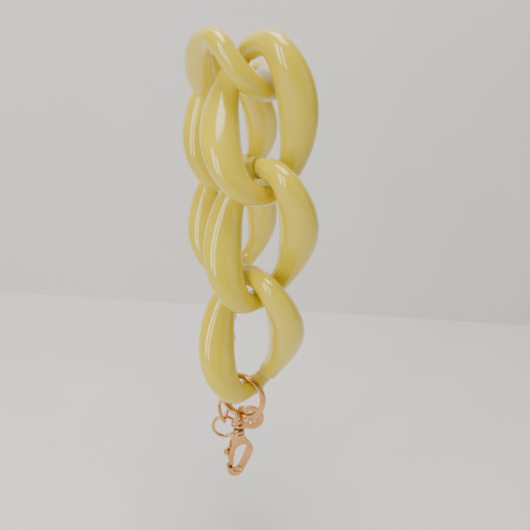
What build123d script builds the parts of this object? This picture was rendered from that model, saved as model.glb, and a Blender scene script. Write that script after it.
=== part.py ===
from build123d import *
import math
import os

# A curb-link bracelet hanging closed over a bar, in millimetres.
# +X runs along the bar, +Y away from the viewer, +Z up.
# The origin is on the bar's axis, under the link that lies over it.

os.makedirs("parts", exist_ok=True)

# ---- yellow links ----
link_long = 34.8  # length of a link's centreline
link_wide = 18.6  # width of a link's centreline
link_corner = 2.7  # squareness of the centreline's oval
link_twist = 48.0  # turn of each bend out of the link's own plane
leg_a, leg_b = 4.85, 3.5  # half width and half depth of a leg where it is fattest
bend_a, bend_b = 2.8, 2.6  # half width and half depth of the wire in a bend
leg_shift = 0.25  # how far each leg's fat part sits towards one end
leg_ease = 1.3  # how quickly a leg swells
link_cut = 0.7  # the cut each link was opened at
neck_long, neck_scale = 2.6, 0.84  # stub beside the cut
rim_round = 0.35

# ---- metal rings and chain ----
ring_wire, ring_outer = 1.7, 14.6  # large jump rings
ring_cut = 0.2
chain_wire, chain_long, chain_wide = 1.3, 11.6, 6.9  # extender chain, outside sizes
chain_twist = 38.0
chain_turn, chain_step = 65.0, 2.4  # turn of the first link, and how much less each next one has
chain_cut = 0.15
chain_count = 6
end_wire, end_outer = 1.2, 9.8  # ring at the extender's end
small_wire, small_outer = 0.8, 5.2  # ring that carries the tag
tag_round, tag_thick, tag_hole = 10.0, 0.9, 0.9
tag_rise, tag_slack = 27.0, 0.3
slot_count, slot_wide, slot_long = 8, 0.8, 1.9

# ---- clasp ----
eye_wire, eye_outer = 1.3, 5.9
collar_round, collar_tall = 1.25, 1.0
pin_round, head_round, head_tall = 0.6, 0.95, 0.6  # swivel pin and its riveted head
pin_drop, pin_play = 2.0, 0.06  # the head's depth in the barrel
barrel_round, barrel_long = 1.75, 3.6
hook_thick = 2.6
hook_bulge = ((0.0, -3.9, 1.9), (0.7, -8.4, 3.9), (-0.5, -14.2, 2.6))  # x, z, radius
hook_hole = ((0.9, -7.8, 2.2), (-0.3, -13.6, 1.35))
hook_round = 0.5
gate_slot, gate_thick = 1.4, 1.0
slot_top, slot_low, slot_right = -4.3, -8.9, 0.25
gate_hinge = (-1.9, -5.6)
gate_heel, gate_bar = 0.9, 1.25
gate_top, gate_end = -8.8, -13.2  # the gap the gate closes
gate_play = 0.15
gate_knob = (-3.55, -7.9, 0.8)  # x, z, radius
hinge_round = 0.35
spring_wire, spring_round, spring_turns, spring_pitch = 0.14, 0.42, 3.5, 0.24
spring_left, spring_level = -0.85, -5.0

# ---- play ----
link_gap = 0.8  # between two links' wires
ring_gap = 0.35  # between a metal ring and what it holds
swivel_gap = 0.3  # between the clasp's eye and its barrel


# ---- how the pieces hang ----
# Angles are degrees. A lean tips a piece's lower end towards the viewer, a turn spins it about
# its own length, and a tilt swings its lower end sideways.
places, pivots = {}, {}


def down(lean):
    return (-math.sin(math.radians(lean)), -math.cos(math.radians(lean)))


def step(start, way, far):
    return (start[0] + way[0] * far, start[1] + way[1] * far)


def hang(name, wire, way, held, own, play, lean, reach, slip, turn=0.0, tilt=0.0):
    """Hangs a piece from the wire another piece ends in. held and own are the two wires' radii and
    reach runs from the piece's upper wire to its middle. Returns its lower wire and direction."""
    axis = down(lean)
    both = (way[0] + axis[0], way[1] + axis[1])
    middle = (both[0] / math.hypot(*both), both[1] / math.hypot(*both))
    pivots[name] = step(wire, middle, -(held + play / 2))
    centre = step(step(pivots[name], middle, -(own + play / 2)), axis, reach)
    places[name] = ((slip, *centre), (-lean, tilt, turn))
    return step(centre, axis, reach), axis


def strand(stem, wire, way, rows):
    """Hangs the yellow links of one strand, a row for each: lean, slip, turn and tilt."""
    for i, (lean, slip, turn, tilt) in enumerate(rows):
        wire, way = hang(f"{stem}_{i + 1}", wire, way, bend_a, bend_a, link_gap, lean,
                         link_long / 2, slip, turn, tilt)
    return wire, way


top_drop = 12.3  # the top link falls away from the viewer over the bar
top_middle = (5.24, 7.99)
places["link_top"] = ((0.5, *top_middle), (90 - top_drop, -2.9, -4.8))
front_rows = ((14.1, 6.9, -3.7, -4.0), (-0.5, 9.0, 0.0, 2.1), (-2.9, 8.1, 0.0, 0.9))
rear_rows = ((-12.8, -2.3, -4.3, -2.1), (3.1, -0.7, -2.9, -1.3))

over = down(90 + top_drop)  # towards the top link's front end
under = down(top_drop - 90)  # towards its rear end
front_wire, front_way = strand("link_front", step(top_middle, over, link_long / 2), over, front_rows)
rear_wire, rear_way = strand("link_rear", step(top_middle, under, link_long / 2), under, rear_rows)

ring_reach = (ring_outer - ring_wire) / 2
chain_reach = (chain_long - chain_wire) / 2
wire, way = hang("jump_ring_front", front_wire, front_way, bend_a, ring_wire / 2, ring_gap,
                 0.0, ring_reach, 6.4, -22.0)
eye_reach = (eye_outer - eye_wire) / 2
wire, way = hang("clasp_eye", wire, way, ring_wire / 2, eye_wire / 2, ring_gap,
                 0.0, eye_reach, 6.0, 68.0)
clasp_drop = eye_outer / 2 + collar_tall + swivel_gap  # from the eye's middle to the barrel's top
clasp_top = step(step(wire, way, -eye_reach), way, clasp_drop)
clasp_turn = 25.0
for name in ("clasp_body", "clasp_gate", "clasp_gate_pin", "clasp_spring"):
    places[name] = ((6.0, *clasp_top), (0.0, 0.0, clasp_turn))

wire, way = hang("jump_ring_rear", rear_wire, rear_way, bend_a, ring_wire / 2, ring_gap,
                 0.0, ring_reach, -0.5, -70.0)
held = ring_wire / 2
for i in range(chain_count):
    wire, way = hang(f"extender_link_{i + 1}", wire, way, held, chain_wire / 2, ring_gap,
                     0.0, chain_reach, -0.5, chain_turn - chain_step * i)
    held = chain_wire / 2
end_reach = (end_outer - end_wire) / 2
small_reach = (small_outer - small_wire) / 2
wire, way = hang("tag_ring", wire, way, held, end_wire / 2, ring_gap, 0.0, end_reach, -0.5)

# The tag lies out to the ring's side, on a line that rises at tag_rise.
end_middle = places["tag_ring"][0]
small_far = end_reach - end_wire / 2 - small_wire / 2 - ring_gap + small_reach
tag_reach = tag_round / 2 - small_wire - tag_hole
tag_far = small_far + small_reach + tag_reach - tag_slack
for name, far, turn in (("tag_small_ring", small_far, 90.0), ("tag_disc", tag_far, 0.0)):
    rise = math.radians(tag_rise)
    places[name] = ((end_middle[0] + far * math.cos(rise), end_middle[1],
                     end_middle[2] + far * math.sin(rise)), (0.0, -90 - tag_rise, turn))
    hold = far - (small_reach if name == "tag_small_ring" else tag_reach)
    pivots[name] = (end_middle[1], end_middle[2] + hold * math.sin(rise))


# ---- shapes ----
def oval(long, wide, corner, twist, count=720):
    """Points round a twisted oval centreline, each with its sideways place and turn, and how far
    round each one is."""
    points, run = [], [0.0]
    for i in range(count + 1):
        angle = 2 * math.pi * i / count
        c, s = math.cos(angle), math.sin(angle)
        r = (abs(2 * c / wide) ** corner + abs(2 * s / long) ** corner) ** (-1 / corner)
        turn = math.radians(-twist) * r * s / (long / 2)
        spot = Vector(r * c * math.cos(turn), r * c * math.sin(turn), r * s)
        if points:
            run.append(run[-1] + (spot - points[-1][0]).length)
        points.append((spot, r * c, turn))
    return points[:-1], run


def section(line, far, size):
    """Plane of a wire's section far mm round its centreline, x outward, and its half sizes."""
    points, run = line
    far = far % run[-1]
    low = max(i for i in range(len(points)) if run[i] <= far)
    part = (far - run[low]) / (run[low + 1] - run[low])
    near, beyond = points[low], points[(low + 1) % len(points)]
    spot = near[0] + (beyond[0] - near[0]) * part
    u = near[1] + (beyond[1] - near[1]) * part
    turn = near[2] + (beyond[2] - near[2]) * part
    along = (points[(low + 2) % len(points)][0] - points[low - 1][0]).normalized()
    outward = along.cross(Vector(-math.sin(turn), math.cos(turn), 0))
    return Plane(origin=spot, x_dir=outward, z_dir=along), *size(spot.Z, u)


def resin_size(z, u):
    share = z / (link_long / 2) - leg_shift * u / (link_wide / 2)
    swell = max(0.0, 1 - share**2) ** leg_ease
    return bend_a + (leg_a - bend_a) * swell, bend_b + (leg_b - bend_b) * swell


def stub_size(z, u):
    a, b = resin_size(z, u)
    return a * neck_scale, b * neck_scale


def chain_size(z, u):
    return chain_wire / 2, chain_wire / 2


def finish(builder, name):
    """Labels a piece, moves it to where it hangs and writes it."""
    spot, turns = places[name]
    shape = builder.part.moved(Location(spot, turns))
    shape.label = name
    export_step(shape, f"parts/{name}.step")


def sections(line, start, end, size, spans=12, count=4):
    """Planes and half sizes of a wire's sections from start to end round it, in short spans that
    share their end sections, so that no loft turns back on itself."""
    rows = [section(line, start + (end - start) * i / (spans * (count - 1)), size)
            for i in range(spans * (count - 1) + 1)]
    return [rows[i * (count - 1):(i + 1) * (count - 1) + 1] for i in range(spans)]


def resin_link(name, cut):
    """A yellow link, cut at that share of the way round, with a necked stub before the cut."""
    line = oval(link_long, link_wide, link_corner, link_twist)
    whole = line[1][-1]
    start, end = cut * whole + link_cut / 2, (cut + 1) * whole - link_cut / 2
    with BuildPart() as stub:
        for plane, a, b in sections(line, end - neck_long - 0.9, end, stub_size, 1)[0]:
            with BuildSketch(plane):
                Ellipse(a, b)
        loft()
        tip = stub.faces().filter_by(GeomType.PLANE).sort_by_distance(plane.origin)[0]
        fillet(tip.edges(), rim_round)
    with BuildPart() as link:
        for span in sections(line, start, end - neck_long, resin_size):
            for plane, a, b in span:
                with BuildSketch(plane):
                    Ellipse(a, b)
            loft()
        fillet(link.faces().filter_by(GeomType.PLANE).edges(), rim_round)
        add(stub.part)
    finish(link, name)


link_cuts = {"link_top": 0.70, "link_front_1": 0.325, "link_front_2": 0.28,
             "link_front_3": 0.825, "link_rear_1": 0.78, "link_rear_2": 0.175}
for name, cut in link_cuts.items():
    resin_link(name, cut)


def round_ring(name, wire, outer, cut, opening):
    """A round wire ring in its XZ plane, cut where it faces that angle from +X towards -Z."""
    reach = (outer - wire) / 2
    with BuildPart() as ring:
        with BuildSketch(Plane.XY.rotated((0, opening, 0))):
            with Locations((reach, 0)):
                Circle(wire / 2)
        revolve(axis=Axis((0, 0, 0), (0, 1, 0)), revolution_arc=360 - math.degrees(cut / reach))
    finish(ring, name)


round_ring("jump_ring_front", ring_wire, ring_outer, ring_cut, 200)
round_ring("jump_ring_rear", ring_wire, ring_outer, ring_cut, 150)
round_ring("tag_ring", end_wire, end_outer, chain_cut, 60)
round_ring("tag_small_ring", small_wire, small_outer, chain_cut, 120)

chain_line = oval(chain_long - chain_wire, chain_wide - chain_wire, 2.2, chain_twist)
chain_round = chain_line[1][-1]
for i in range(chain_count):
    with BuildPart() as extender_link:
        for span in sections(chain_line, chain_cut / 2, chain_round - chain_cut / 2, chain_size):
            for plane, a, b in span:
                with BuildSketch(plane):
                    Ellipse(a, b)
            loft()
    finish(extender_link, f"extender_link_{i + 1}")

with BuildPart() as tag_disc:
    with BuildSketch(Plane.XZ):
        Circle(tag_round / 2)
        with Locations((0, tag_reach)):
            Circle(tag_hole, mode=Mode.SUBTRACT)
        with PolarLocations(1.3 + slot_long / 2, slot_count, start_angle=22.5):
            SlotOverall(slot_long, slot_wide, mode=Mode.SUBTRACT)
    extrude(amount=tag_thick / 2, both=True)
    chamfer(tag_disc.edges().filter_by(GeomType.CIRCLE).group_by(SortBy.RADIUS)[-1], 0.12)
finish(tag_disc, "tag_disc")

pin_top = eye_reach + eye_wire / 2 - 0.2  # the swivel pin starts inside the eye's wire
head_low = clasp_drop + pin_drop + head_tall
with BuildPart() as clasp_eye:
    with BuildSketch(Plane.XY.rotated((0, 200, 0))):
        with Locations((eye_reach, 0)):
            Circle(eye_wire / 2)
    revolve(axis=Axis((0, 0, 0), (0, 1, 0)))
    with BuildSketch(Plane.XZ) as half_pin:
        with BuildLine():
            Polyline((0, -pin_top), (collar_round - 0.3, -pin_top - 0.1),
                     (collar_round, -pin_top - 0.4), (collar_round, -pin_top - collar_tall),
                     (collar_round - 0.25, -pin_top - collar_tall - 0.2),
                     (pin_round, -pin_top - collar_tall - 0.2), (pin_round, -head_low + head_tall),
                     (head_round, -head_low + head_tall), (head_round, -head_low),
                     (0, -head_low), close=True)
        make_face()
    revolve(axis=Axis.Z)
finish(clasp_eye, "clasp_eye")

with BuildPart() as clasp_body:
    with BuildSketch(Plane.XZ) as outline:
        for x, z, size in hook_bulge:
            with Locations((x, z)):
                Circle(size)
        make_hull()
        with BuildSketch(mode=Mode.PRIVATE) as opening:
            for x, z, size in hook_hole:
                with Locations((x, z)):
                    Circle(size)
            make_hull()
        add(opening.sketch, mode=Mode.SUBTRACT)
    extrude(amount=hook_thick / 2, both=True)
    fillet(clasp_body.edges().filter_by(Plane.XZ), hook_round)
    with BuildSketch(Plane.XZ):
        with Locations((-4.6, (gate_top + gate_end) / 2)):
            Rectangle(6.4, gate_top - gate_end)
    extrude(amount=hook_thick, both=True, mode=Mode.SUBTRACT)
    with BuildSketch(Plane.XZ) as half_barrel:
        with BuildLine():
            Polyline((0, 0), (barrel_round - 0.4, 0), (barrel_round, -0.4),
                     (barrel_round, -0.9), (barrel_round - 0.25, -1.15),
                     (barrel_round - 0.25, -1.35), (barrel_round, -1.6),
                     (barrel_round, -barrel_long), (0, -barrel_long - 0.6), close=True)
        make_face()
    revolve(axis=Axis.Z)
    with BuildSketch():
        Circle(pin_round + pin_play)
    extrude(amount=-pin_drop, mode=Mode.SUBTRACT)
    with BuildSketch(Plane.XY.offset(-pin_drop + pin_play * 2)):
        Circle(head_round + pin_play * 2)
    extrude(amount=-head_tall - pin_play * 4, mode=Mode.SUBTRACT)
    with BuildSketch(Plane.XZ):
        with Locations((slot_right - 4, (slot_top + slot_low) / 2)):
            Rectangle(8, slot_top - slot_low)
    extrude(amount=gate_slot / 2, both=True, mode=Mode.SUBTRACT)
    with BuildSketch(Plane.XZ):
        with Locations(gate_hinge):
            Circle(hinge_round)
    extrude(amount=hook_thick, both=True, mode=Mode.SUBTRACT)
finish(clasp_body, "clasp_body")

with BuildPart() as clasp_gate_pin:
    with BuildSketch(Plane.XZ):
        with Locations(gate_hinge):
            Circle(hinge_round)
    extrude(amount=hook_thick / 2, both=True)
finish(clasp_gate_pin, "clasp_gate_pin")

gate_left = gate_hinge[0] - gate_heel
gate_low = gate_end + gate_play
with BuildPart() as clasp_gate:
    with BuildSketch(Plane.XZ):
        with Locations(gate_hinge):
            Circle(gate_heel)
        with BuildLine():
            Polyline((gate_left, gate_hinge[1]), (gate_left - 0.2, -10.5), (gate_left + 0.35, gate_low),
                     (gate_left + 0.35 + gate_bar, gate_low),
                     (gate_left + gate_bar + 0.1, -10.5), (gate_hinge[0] + gate_heel, gate_hinge[1]),
                     close=True)
        make_face()
        with Locations(gate_knob[:2]):
            Circle(gate_knob[2])
    extrude(amount=gate_thick / 2, both=True)
    with BuildSketch(Plane.XZ):
        with Locations(gate_hinge):
            Circle(hinge_round + pin_play)
    extrude(amount=gate_thick, both=True, mode=Mode.SUBTRACT)
finish(clasp_gate, "clasp_gate")

with BuildPart() as clasp_spring:
    with BuildLine() as coil:
        Helix(spring_pitch, spring_pitch * spring_turns, spring_round,
              center=(spring_left, 0, spring_level), direction=(1, 0, 0))
    with BuildSketch(Plane(origin=coil.line @ 0, z_dir=coil.line % 0)):
        Circle(spring_wire / 2)
    sweep(is_frenet=True)
finish(clasp_spring, "clasp_spring")
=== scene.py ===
"""A chunky yellow curb-link bracelet hanging from its top link, with gold-tone rings, an open
clasp, an extender chain and a pierced tag."""

import math

import bpy
import numpy as np
from mathutils import Matrix, Vector


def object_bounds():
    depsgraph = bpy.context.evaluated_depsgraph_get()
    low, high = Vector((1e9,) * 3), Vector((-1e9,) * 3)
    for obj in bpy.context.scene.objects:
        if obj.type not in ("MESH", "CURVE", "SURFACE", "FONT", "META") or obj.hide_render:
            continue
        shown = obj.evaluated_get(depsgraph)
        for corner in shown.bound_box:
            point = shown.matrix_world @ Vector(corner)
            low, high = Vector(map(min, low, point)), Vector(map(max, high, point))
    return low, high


bl_info = {
    "name": "Curb-link bracelet",
    "version": (1, 0, 0),
    "blender": (4, 5, 0),
    "location": "View3D > Sidebar > Bracelet",
    "description": "Finishes the links, rings, clasp and tag of a hanging bracelet and sets its stage",
    "category": "Object",
}

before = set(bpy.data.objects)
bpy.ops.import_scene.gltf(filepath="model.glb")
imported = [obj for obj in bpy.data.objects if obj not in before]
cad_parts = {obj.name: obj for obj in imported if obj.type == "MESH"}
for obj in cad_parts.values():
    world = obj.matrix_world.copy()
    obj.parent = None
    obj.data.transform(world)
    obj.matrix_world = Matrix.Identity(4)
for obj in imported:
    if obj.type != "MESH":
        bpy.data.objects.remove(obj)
cad_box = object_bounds()
RESIN = [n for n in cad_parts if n.startswith("link_")]
STEEL = ["clasp_spring"]
CLASP = [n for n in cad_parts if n.startswith("clasp_") and n not in STEEL]
TAG = ["tag_disc"]
RINGS = [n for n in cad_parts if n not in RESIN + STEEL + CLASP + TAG]

SHEET_POINTS = 25  # along each side of a stage surface
STAGE_REACH = 2  # metres from the middle to the floor's edge, and up the backdrop


# ---- properties ----
class ResinProps(bpy.types.PropertyGroup):
    colour: bpy.props.FloatVectorProperty(
        name="Resin colour", description="Body colour of the glossy links", subtype="COLOR",
        size=3, min=0, max=1, default=(0.74, 0.58, 0.008))
    cloud: bpy.props.FloatProperty(
        name="Clouding", description="How strongly the poured colour varies", subtype="FACTOR",
        min=0, max=1, default=0.35)
    roughness: bpy.props.FloatProperty(
        name="Roughness", description="Roughness under the clear gloss", subtype="FACTOR",
        min=0, max=1, default=0.16)
    ripple: bpy.props.FloatProperty(
        name="Ripple", description="Depth of the hand-polished waviness", subtype="DISTANCE",
        unit="LENGTH", min=0, max=0.001, default=0.00006, precision=6)


class MetalProps(bpy.types.PropertyGroup):
    colour: bpy.props.FloatVectorProperty(
        name="Plate colour", description="Colour of the warm gold plating", subtype="COLOR",
        size=3, min=0, max=1, default=(0.80, 0.43, 0.15))
    dark: bpy.props.FloatVectorProperty(
        name="Tarnish colour", description="Colour where the plating has dulled", subtype="COLOR",
        size=3, min=0, max=1, default=(0.42, 0.20, 0.07))
    roughness: bpy.props.FloatProperty(
        name="Roughness", description="Roughness of the polished plating", subtype="FACTOR",
        min=0, max=1, default=0.17)
    wear: bpy.props.FloatProperty(
        name="Wear", description="How far the plating has dulled", subtype="FACTOR",
        min=0, max=1, default=0.35)


class StageProps(bpy.types.PropertyGroup):
    floor_drop: bpy.props.FloatProperty(
        name="Floor drop", description="Distance from the lowest piece to the floor",
        subtype="DISTANCE", unit="LENGTH", min=0, default=0.03)
    wall_gap: bpy.props.FloatProperty(
        name="Wall distance", description="Distance from the bracelet to the backdrop",
        subtype="DISTANCE", unit="LENGTH", min=0.01, default=0.16)
    pale: bpy.props.FloatVectorProperty(
        name="Stage colour", description="Colour of the floor and backdrop", subtype="COLOR",
        size=3, min=0, max=1, default=(0.78, 0.765, 0.73))
    camera_place: bpy.props.FloatVectorProperty(
        name="Camera place", description="Where the camera stands", subtype="TRANSLATION",
        unit="LENGTH", size=3, default=(0.0105, -0.1456, 0.0163))
    camera_pitch: bpy.props.FloatProperty(
        name="Camera pitch", description="How far the camera looks down", subtype="ANGLE",
        unit="ROTATION", default=math.radians(22))
    camera_roll: bpy.props.FloatProperty(
        name="Camera roll", description="How far the camera leans", subtype="ANGLE",
        unit="ROTATION", default=math.radians(3.7))
    lens: bpy.props.FloatProperty(
        name="Lens", description="Focal length for a 36 mm sensor, in millimetres",
        min=10, max=200, default=38.04)


# ---- shader groups ----
def wire(tree, a, b):
    tree.links.new(a, b)


def add_node(tree, kind, x, y, **values):
    """A shader node at a place in its tree. Each value is set on the property of that name, or on
    the input of that name where the node has no such property."""
    node = tree.nodes.new(kind)
    node.location = (x, y)
    for key, value in values.items():
        if hasattr(node, key):
            setattr(node, key, value)
        else:
            node.inputs[key].default_value = value
    return node


def new_group(name, inputs, outputs):
    group = bpy.data.node_groups.new(name, "ShaderNodeTree")
    for label, kind, value in inputs:
        socket = group.interface.new_socket(name=label, in_out="INPUT", socket_type=kind)
        if value is not None:
            socket.default_value = value
    for label, kind in outputs:
        group.interface.new_socket(name=label, in_out="OUTPUT", socket_type=kind)
    return group, add_node(group, "NodeGroupInput", -900, 0), add_node(group, "NodeGroupOutput", 900, 0)


def clouding_group():
    """Soft colour variation: broad noise, scaled by Amount, slides the colour towards a darker
    tone of itself. Also gives that noise as a mask, and finer noise as a height for waviness."""
    group, enter, leave = new_group(
        "poured_clouding",
        [("Colour", "NodeSocketColor", (0.8, 0.8, 0.8, 1)), ("Amount", "NodeSocketFloat", 0.3),
         ("Size", "NodeSocketFloat", 90.0)],
        [("Colour", "NodeSocketColor"), ("Height", "NodeSocketFloat"), ("Mask", "NodeSocketFloat")])
    spot = add_node(group, "ShaderNodeTexCoord", -900, 300)
    broad = add_node(group, "ShaderNodeTexNoise", -600, 200, Detail=2.0)
    fine = add_node(group, "ShaderNodeTexNoise", -600, -150, Scale=260.0, Detail=1.0)
    wire(group, spot.outputs["Object"], broad.inputs["Vector"])
    wire(group, spot.outputs["Object"], fine.inputs["Vector"])
    wire(group, enter.outputs["Size"], broad.inputs["Scale"])
    ramp = add_node(group, "ShaderNodeMapRange", -380, 200)
    for key, value in (("From Min", 0.3), ("From Max", 0.7)):
        ramp.inputs[key].default_value = value
    wire(group, broad.outputs["Fac"], ramp.inputs["Value"])
    share = add_node(group, "ShaderNodeMath", -180, 100, operation="MULTIPLY")
    wire(group, ramp.outputs["Result"], share.inputs[0])
    wire(group, enter.outputs["Amount"], share.inputs[1])
    deep = add_node(group, "ShaderNodeHueSaturation", -180, 350)
    deep.inputs["Value"].default_value = 0.80
    deep.inputs["Hue"].default_value = 0.492
    wire(group, enter.outputs["Colour"], deep.inputs["Color"])
    mix = add_node(group, "ShaderNodeMix", 150, 200, data_type="RGBA")
    wire(group, share.outputs[0], mix.inputs["Factor"])
    wire(group, enter.outputs["Colour"], mix.inputs[6])
    wire(group, deep.outputs["Color"], mix.inputs[7])
    wire(group, mix.outputs[2], leave.inputs["Colour"])
    wire(group, fine.outputs["Fac"], leave.inputs["Height"])
    wire(group, ramp.outputs["Result"], leave.inputs["Mask"])
    return group


def scuff_group():
    """Fine scratches: noise stretched along one slanted axis gives hairlines, and its peaks are
    kept. Puts out one mask from 0 to 1."""
    group, enter, leave = new_group(
        "scuffs", [("Amount", "NodeSocketFloat", 0.3), ("Size", "NodeSocketFloat", 700.0)],
        [("Mask", "NodeSocketFloat")])
    spot = add_node(group, "ShaderNodeTexCoord", -900, 300)
    stretch = add_node(group, "ShaderNodeMapping", -700, 300)
    stretch.inputs["Scale"].default_value = (1.0, 1.0, 0.18)
    stretch.inputs["Rotation"].default_value = (0.4, 0.2, 0.7)
    wire(group, spot.outputs["Object"], stretch.inputs["Vector"])
    hair = add_node(group, "ShaderNodeTexNoise", -480, 250, Detail=4.0, Roughness=0.65)
    wire(group, stretch.outputs["Vector"], hair.inputs["Vector"])
    wire(group, enter.outputs["Size"], hair.inputs["Scale"])
    sharp = add_node(group, "ShaderNodeMapRange", -250, 250)
    for key, value in (("From Min", 0.56), ("From Max", 0.74)):
        sharp.inputs[key].default_value = value
    wire(group, hair.outputs["Fac"], sharp.inputs["Value"])
    scale = add_node(group, "ShaderNodeMath", 300, 150, operation="MULTIPLY", use_clamp=True)
    wire(group, sharp.outputs["Result"], scale.inputs[0])
    wire(group, enter.outputs["Amount"], scale.inputs[1])
    wire(group, scale.outputs[0], leave.inputs["Mask"])
    return group


def new_material(name):
    material = bpy.data.materials.new(name)
    material.use_nodes = True
    tree = material.node_tree
    tree.nodes.clear()
    shader = add_node(tree, "ShaderNodeBsdfPrincipled", 300, 0)
    out = add_node(tree, "ShaderNodeOutputMaterial", 700, 0)
    wire(tree, shader.outputs["BSDF"], out.inputs["Surface"])
    return material, tree, shader


def place_group(tree, name, x, y, **values):
    node = add_node(tree, "ShaderNodeGroup", x, y)
    node.node_tree = bpy.data.node_groups[name]
    for key, value in values.items():
        node.inputs[key].default_value = value
    return node


def finish_nodes(names, material):
    """Puts a material in every slot of the named CAD nodes."""
    for name in names:
        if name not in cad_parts:
            raise RuntimeError(f"the frame has no node {name}")
        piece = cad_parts[name]
        for place in piece.material_slots:
            place.material = material


# ---- operators ----
class BRACELET_OT_effects(bpy.types.Operator):
    """Builds the shader groups that the finishes share"""
    bl_idname = "bracelet.effects"
    bl_label = "Shared effects"

    def execute(self, context):
        clouding_group()
        scuff_group()
        return {"FINISHED"}


class BRACELET_OT_links(bpy.types.Operator):
    """Gives the chunky links their glossy poured resin"""
    bl_idname = "bracelet.links"
    bl_label = "Yellow links"

    def execute(self, context):
        props = context.scene.bracelet_resin
        material, tree, shader = new_material("yellow_resin")
        cloud = place_group(tree, "poured_clouding", -500, 100, Amount=props.cloud, Size=85.0)
        cloud.inputs["Colour"].default_value = (*props.colour, 1)
        wire(tree, cloud.outputs["Colour"], shader.inputs["Base Color"])
        scuff = place_group(tree, "scuffs", -500, -200, Amount=0.25, Size=420.0)
        rough = add_node(tree, "ShaderNodeMapRange", -150, -200)
        rough.inputs["To Min"].default_value = props.roughness
        rough.inputs["To Max"].default_value = props.roughness + 0.22
        wire(tree, scuff.outputs["Mask"], rough.inputs["Value"])
        wire(tree, rough.outputs["Result"], shader.inputs["Roughness"])
        bump = add_node(tree, "ShaderNodeBump", 0, -400, Strength=0.35)
        bump.inputs["Distance"].default_value = props.ripple
        wire(tree, cloud.outputs["Height"], bump.inputs["Height"])
        wire(tree, bump.outputs["Normal"], shader.inputs["Normal"])
        shader.inputs["IOR"].default_value = 1.5
        shader.inputs["Coat Weight"].default_value = 0.6
        shader.inputs["Coat Roughness"].default_value = 0.04
        finish_nodes(RESIN, material)
        return {"FINISHED"}


def plated(name, props, rough_more=0.0, size=900.0):
    """Warm gold plating: a metal whose colour slides towards tarnish with soft noise and scuffs."""
    material, tree, shader = new_material(name)
    cloud = place_group(tree, "poured_clouding", -700, 150, Amount=0.4, Size=320.0)
    cloud.inputs["Colour"].default_value = (*props.colour, 1)
    scuff = place_group(tree, "scuffs", -700, -200, Amount=1.0, Size=size)
    both = add_node(tree, "ShaderNodeMath", -420, -50, operation="MULTIPLY")
    wire(tree, cloud.outputs["Mask"], both.inputs[0])
    both.inputs[1].default_value = props.wear
    mix = add_node(tree, "ShaderNodeMix", -120, 150, data_type="RGBA")
    wire(tree, both.outputs[0], mix.inputs["Factor"])
    wire(tree, cloud.outputs["Colour"], mix.inputs[6])
    mix.inputs[7].default_value = (*props.dark, 1)
    wire(tree, mix.outputs[2], shader.inputs["Base Color"])
    rough = add_node(tree, "ShaderNodeMapRange", -120, -200)
    rough.inputs["To Min"].default_value = props.roughness + rough_more
    rough.inputs["To Max"].default_value = props.roughness + rough_more + 0.2
    wire(tree, scuff.outputs["Mask"], rough.inputs["Value"])
    wire(tree, rough.outputs["Result"], shader.inputs["Roughness"])
    bump = add_node(tree, "ShaderNodeBump", 0, -420, Strength=0.25)
    bump.inputs["Distance"].default_value = 0.00002
    wire(tree, scuff.outputs["Mask"], bump.inputs["Height"])
    wire(tree, bump.outputs["Normal"], shader.inputs["Normal"])
    shader.inputs["Metallic"].default_value = 1.0
    return material


class BRACELET_OT_rings(bpy.types.Operator):
    """Gives the jump rings and the extender chain their warm gold plating"""
    bl_idname = "bracelet.rings"
    bl_label = "Rings and chain"

    def execute(self, context):
        finish_nodes(RINGS, plated("ring_plating", context.scene.bracelet_metal))
        return {"FINISHED"}


class BRACELET_OT_clasp(bpy.types.Operator):
    """Gives the swivel clasp its cast and plated finish, and its spring plain steel"""
    bl_idname = "bracelet.clasp"
    bl_label = "Clasp"

    def execute(self, context):
        finish_nodes(CLASP, plated("clasp_plating", context.scene.bracelet_metal, 0.04, 600.0))
        material, tree, shader = new_material("spring_steel")
        scuff = place_group(tree, "scuffs", -400, 0, Amount=0.6, Size=1500.0)
        rough = add_node(tree, "ShaderNodeMapRange", -100, 0)
        rough.inputs["To Min"].default_value = 0.25
        rough.inputs["To Max"].default_value = 0.45
        wire(tree, scuff.outputs["Mask"], rough.inputs["Value"])
        wire(tree, rough.outputs["Result"], shader.inputs["Roughness"])
        shader.inputs["Base Color"].default_value = (0.52, 0.52, 0.53, 1)
        shader.inputs["Metallic"].default_value = 1.0
        finish_nodes(STEEL, material)
        return {"FINISHED"}


class BRACELET_OT_tag(bpy.types.Operator):
    """Gives the pierced tag a brushed face in the same plating"""
    bl_idname = "bracelet.tag"
    bl_label = "Tag"

    def execute(self, context):
        finish_nodes(TAG, plated("tag_plating", context.scene.bracelet_metal, 0.10, 1400.0))
        return {"FINISHED"}


def sheet(name, corners, material):
    """A flat stage surface: a square grid of points blended evenly between four corners."""
    a, b, c, d = (np.array(corner) for corner in corners)
    along = np.linspace(0, 1, SHEET_POINTS)
    u, v = np.meshgrid(along, along, indexing="ij")
    u, v = u[..., None], v[..., None]
    points = ((1 - u) * (1 - v) * a + u * (1 - v) * b + u * v * c + (1 - u) * v * d).reshape(-1, 3)
    cells = np.arange(SHEET_POINTS - 1)
    i, j = np.meshgrid(cells, cells, indexing="ij")
    low = (i * SHEET_POINTS + j).ravel()
    faces = np.stack([low, low + SHEET_POINTS, low + SHEET_POINTS + 1, low + 1], -1)
    mesh = bpy.data.meshes.new(name)
    mesh.from_pydata(points.tolist(), [], faces.tolist())
    mesh.materials.append(material)
    piece = bpy.data.objects.new(name, mesh)
    bpy.context.scene.collection.objects.link(piece)
    return piece


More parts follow.
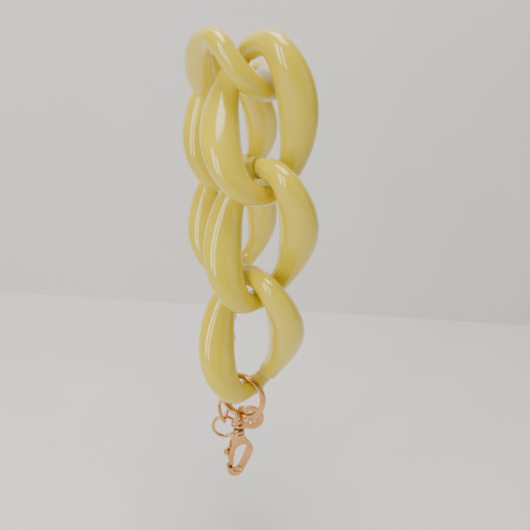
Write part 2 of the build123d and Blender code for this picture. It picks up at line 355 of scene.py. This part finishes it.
class BRACELET_OT_stage(bpy.types.Operator):
    """Sets the pale floor, backdrop, soft lights and camera"""
    bl_idname = "bracelet.stage"
    bl_label = "Stage"

    def execute(self, context):
        props = context.scene.bracelet_stage
        low, high = cad_box
        floor = low[2] - props.floor_drop
        back = high[1] + props.wall_gap
        material, tree, shader = new_material("stage_plaster")
        cloud = place_group(tree, "poured_clouding", -500, 0, Amount=0.10, Size=30.0)
        cloud.inputs["Colour"].default_value = (*props.pale, 1)
        wire(tree, cloud.outputs["Colour"], shader.inputs["Base Color"])
        shader.inputs["Roughness"].default_value = 0.85
        side = STAGE_REACH
        ground = sheet("floor", [(-side, -side, floor), (side, -side, floor),
                                 (side, side, floor), (-side, side, floor)], material)
        wall = sheet("backdrop", [(-side, back, floor), (side, back, floor),
                                  (side, back, floor + side), (-side, back, floor + side)], material)

        world = bpy.data.worlds.new("studio")
        context.scene.world = world
        world.use_nodes = True
        world.node_tree.nodes["Background"].inputs["Color"].default_value = (0.93, 0.96, 1.0, 1)
        world.node_tree.nodes["Background"].inputs["Strength"].default_value = 0.28
        middle = Vector(((low[0] + high[0]) / 2, (low[1] + high[1]) / 2, (low[2] + high[2]) / 2))
        # name, place from the bracelet's middle, width and height in metres, watts
        lamps = (("overhead", (-0.06, -0.02, 0.60), 0.50, 0.30, 4.6),
                 ("window", (-0.42, -0.40, 0.22), 0.10, 0.50, 1.7),
                 ("second_window", (-0.30, -0.52, 0.22), 0.06, 0.50, 1.1),
                 ("fill", (0.50, -0.35, 0.10), 0.50, 0.50, 0.5))
        for name, place, wide, tall, power in lamps:
            lamp = bpy.data.lights.new(name, "AREA")
            lamp.shape = "RECTANGLE"
            lamp.size, lamp.size_y = wide, tall
            lamp.energy = power
            lamp.color = (1.0, 0.985, 0.95)
            piece = bpy.data.objects.new(name, lamp)
            piece.location = middle + Vector(place)
            piece.rotation_euler = (middle - piece.location).to_track_quat("-Z", "Y").to_euler()
            context.scene.collection.objects.link(piece)

        camera = bpy.data.cameras.new("camera")
        camera.sensor_width = 36
        camera.lens = props.lens
        camera.clip_start = 0.005
        piece = bpy.data.objects.new("camera", camera)
        turn = (Matrix.Rotation(math.pi / 2 - props.camera_pitch, 4, "X")
                @ Matrix.Rotation(props.camera_roll, 4, "Z"))
        piece.matrix_world = Matrix.Translation(props.camera_place) @ turn
        context.scene.collection.objects.link(piece)
        context.scene.camera = piece
        return {"FINISHED"}


class BRACELET_PT_panel(bpy.types.Panel):
    """Lists the bracelet's steps"""
    bl_idname = "BRACELET_PT_panel"
    bl_label = "Bracelet"
    bl_space_type = "VIEW_3D"
    bl_region_type = "UI"
    bl_category = "Bracelet"

    def draw(self, context):
        for step in STEPS:
            self.layout.operator(step.bl_idname)
        for name in ("bracelet_resin", "bracelet_metal", "bracelet_stage"):
            props = getattr(context.scene, name)
            for key in props.__annotations__:
                self.layout.prop(props, key)


STEPS = (BRACELET_OT_effects, BRACELET_OT_links, BRACELET_OT_rings, BRACELET_OT_clasp,
         BRACELET_OT_tag, BRACELET_OT_stage)
CLASSES = (ResinProps, MetalProps, StageProps, *STEPS, BRACELET_PT_panel)


def register():
    for item in CLASSES:
        bpy.utils.register_class(item)
    bpy.types.Scene.bracelet_resin = bpy.props.PointerProperty(type=ResinProps)
    bpy.types.Scene.bracelet_metal = bpy.props.PointerProperty(type=MetalProps)
    bpy.types.Scene.bracelet_stage = bpy.props.PointerProperty(type=StageProps)


def unregister():
    for name in ("bracelet_resin", "bracelet_metal", "bracelet_stage"):
        delattr(bpy.types.Scene, name)
    for item in reversed(CLASSES):
        bpy.utils.unregister_class(item)


def main():
    register()
    for step in STEPS:
        area, name = step.bl_idname.split(".")
        getattr(getattr(bpy.ops, area), name)()


if __name__ == "__main__":
    main()
